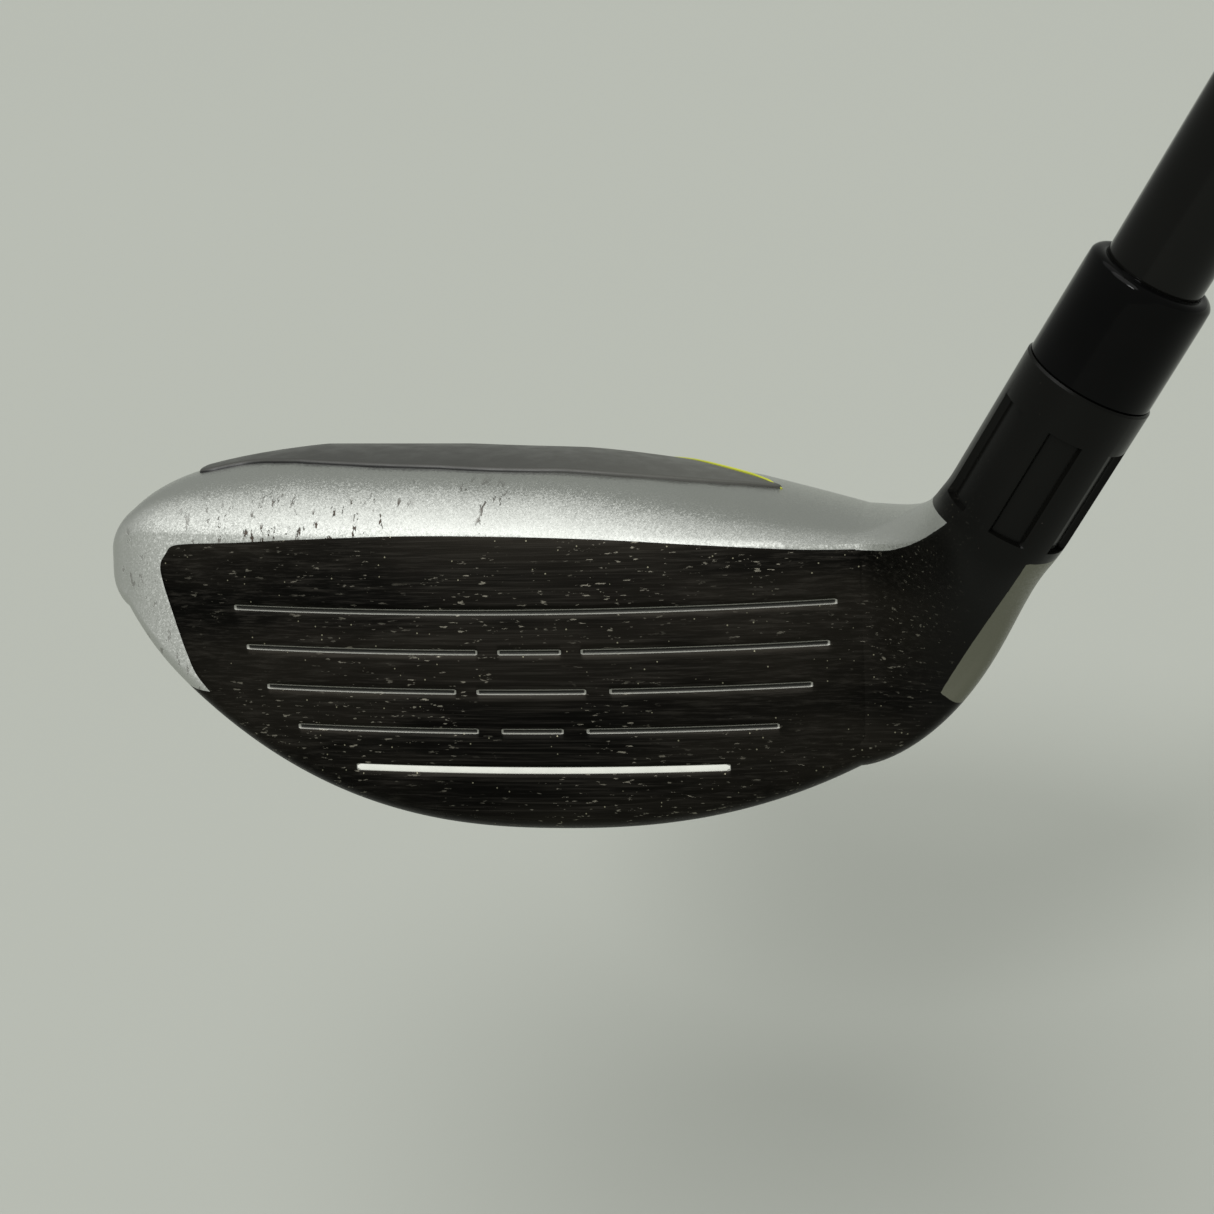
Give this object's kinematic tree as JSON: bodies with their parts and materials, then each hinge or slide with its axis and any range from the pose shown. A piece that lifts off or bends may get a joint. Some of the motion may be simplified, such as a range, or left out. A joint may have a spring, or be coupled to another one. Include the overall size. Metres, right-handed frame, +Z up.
{
  "type": "hybrid golf club",
  "caption": "Right-handed hybrid golf club: hollow head with face insert and raised crown, fluted hosel, ferrule, tapered shaft and rubber grip.",
  "frame": {"origin": "on the ground where the sole rests under the middle of the face, in the upright plane that holds the shaft's axis", "axes": "+X from toe to heel, +Y from the face to the rear of the head, +Z up; the shaft leans 59.5 degrees above the ground towards +X"},
  "size_m": [0.6074, 0.0621, 0.8876],
  "materials": {
    "head_paint": "satin metallic grey band, black hosel and sole",
    "face_steel": "dark ion-plated steel, horizontally brushed",
    "score_paint": "white paint fill, slightly worn",
    "crown_paint": "satin black, faintly warm",
    "accent_paint": "gloss lime green",
    "slot_polymer": "moulded black polymer",
    "badge_metal": "fine brushed, plain",
    "screw_steel": "turned steel with hexagon socket",
    "seal_rubber": "black O-ring",
    "tungsten": "sintered tungsten alloy, as cast",
    "hot_melt": "set hot-melt adhesive",
    "plug_plastic": "moulded plug",
    "tip_brass": "turned brass pin",
    "epoxy": "cured shafting epoxy",
    "ferrule_black": "buffed black cellulose",
    "shaft_paint": "gloss black over carbon fibre",
    "decal_film": "plain grey band under lacquer",
    "tape": "double-sided paper tape",
    "grip_rubber": "moulded rubber with a fine traction pattern"
  },
  "bodies": {
    "root": {"head_body": "head_paint", "face_insert": "face_steel", "scoreline_fill": "score_paint", "crown_panel": "crown_paint", "crown_accent": "accent_paint", "slot_insert": "slot_polymer", "sole_badge": "badge_metal", "port_screw": "screw_steel", "port_seal": "seal_rubber", "toe_weight": "tungsten", "heel_weight": "tungsten", "hot_melt": "hot_melt", "hosel_plug": "plug_plastic", "tip_weight": "tip_brass", "epoxy_sleeve": "epoxy", "ferrule": "ferrule_black", "shaft": "shaft_paint", "shaft_decal": "decal_film", "grip_tape": "tape", "grip": "grip_rubber", "grip_cap": "grip_rubber"}
  },
  "joints": []
}
